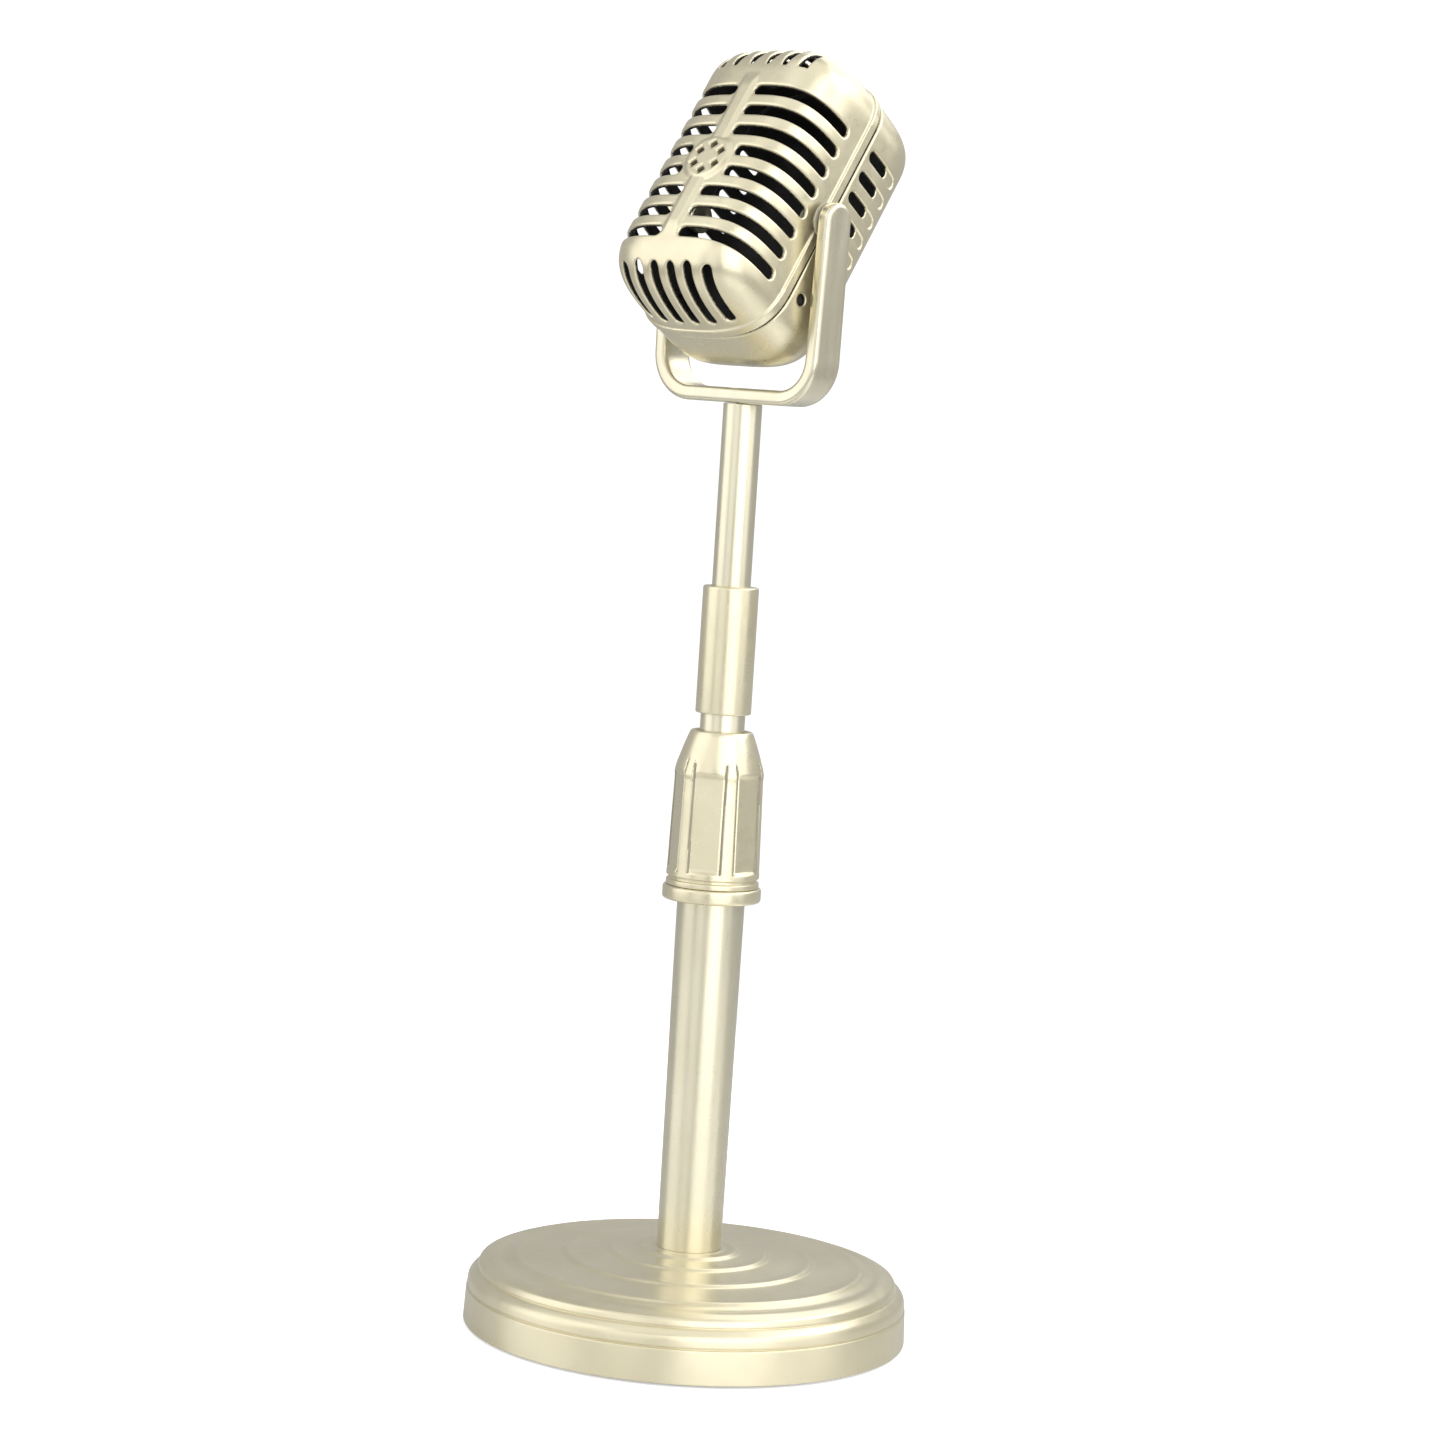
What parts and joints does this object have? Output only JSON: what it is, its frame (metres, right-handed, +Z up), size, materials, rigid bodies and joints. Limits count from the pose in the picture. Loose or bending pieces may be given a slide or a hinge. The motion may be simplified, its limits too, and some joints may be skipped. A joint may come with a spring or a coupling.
{
  "type": "toy microphone",
  "caption": "vintage style toy microphone with slotted two-part grille head tilting in a U yoke on a telescoping pole and weighted round stepped base",
  "frame": {"origin": "centre of the round base's underside, where the foot pad meets the table", "axes": "+Z up along the pole, front grille of the head towards -Y, yoke arms and head pivot along X"},
  "size_m": [0.09, 0.09, 0.2586],
  "materials": {
    "champagne_plastic": "satin champagne gold metallic paint on moulded plastic",
    "champagne_metal": "satin champagne gold metallic paint on steel",
    "zinc_steel": "zinc plated",
    "weight_iron": "rough black casting",
    "black_plastic": "matt black moulding",
    "foot_foam": "dense dark foam rubber",
    "white_nylon": "natural nylon"
  },
  "bodies": {
    "stand": {"base_shell": "champagne_plastic", "base_weight": "weight_iron", "base_plate": "black_plastic", "foot_pad": "foot_foam", "base_screw_1": "zinc_steel", "base_screw_2": "zinc_steel", "base_screw_3": "zinc_steel", "pole_bolt": "zinc_steel", "pole_washer": "zinc_steel", "lower_tube": "champagne_metal", "tube_plug": "zinc_steel", "clutch_ring": "champagne_plastic", "clutch_collet": "white_nylon"},
    "grip": {"clutch_grip": "champagne_plastic"},
    "pole": {"inner_pole": "champagne_metal", "pole_stop": "white_nylon"},
    "mast": {"pole_sleeve": "champagne_plastic", "upper_rod": "champagne_metal", "yoke": "champagne_metal", "yoke_screw": "zinc_steel", "pivot_pin_l": "zinc_steel", "pivot_pin_r": "zinc_steel", "pivot_washer_l": "white_nylon", "pivot_washer_r": "white_nylon"},
    "head": {"front_shell": "champagne_plastic", "rear_shell": "champagne_plastic", "shell_screw_l": "zinc_steel", "shell_screw_r": "zinc_steel"}
  },
  "joints": [
    {"name": "clutch_twist", "type": "hinge", "parent": "stand", "child": "grip", "pos_m": [0, 0, 0.107], "axis": [0, 0, 1], "range_deg": [0, 180]},
    {"name": "pole_slide", "type": "slide", "parent": "stand", "child": "pole", "axis": [0, 0, 1], "range_m": [-0.003, 0.05]},
    {"name": "mast_swivel", "type": "hinge", "parent": "pole", "child": "mast", "pos_m": [0, 0, 0.139], "axis": [0, 0, 1], "continuous": true},
    {"name": "head_tilt", "type": "hinge", "parent": "mast", "child": "head", "pos_m": [0, 0, 0.225], "axis": [1, 0, 0], "range_deg": [-80, 125]}
  ]
}
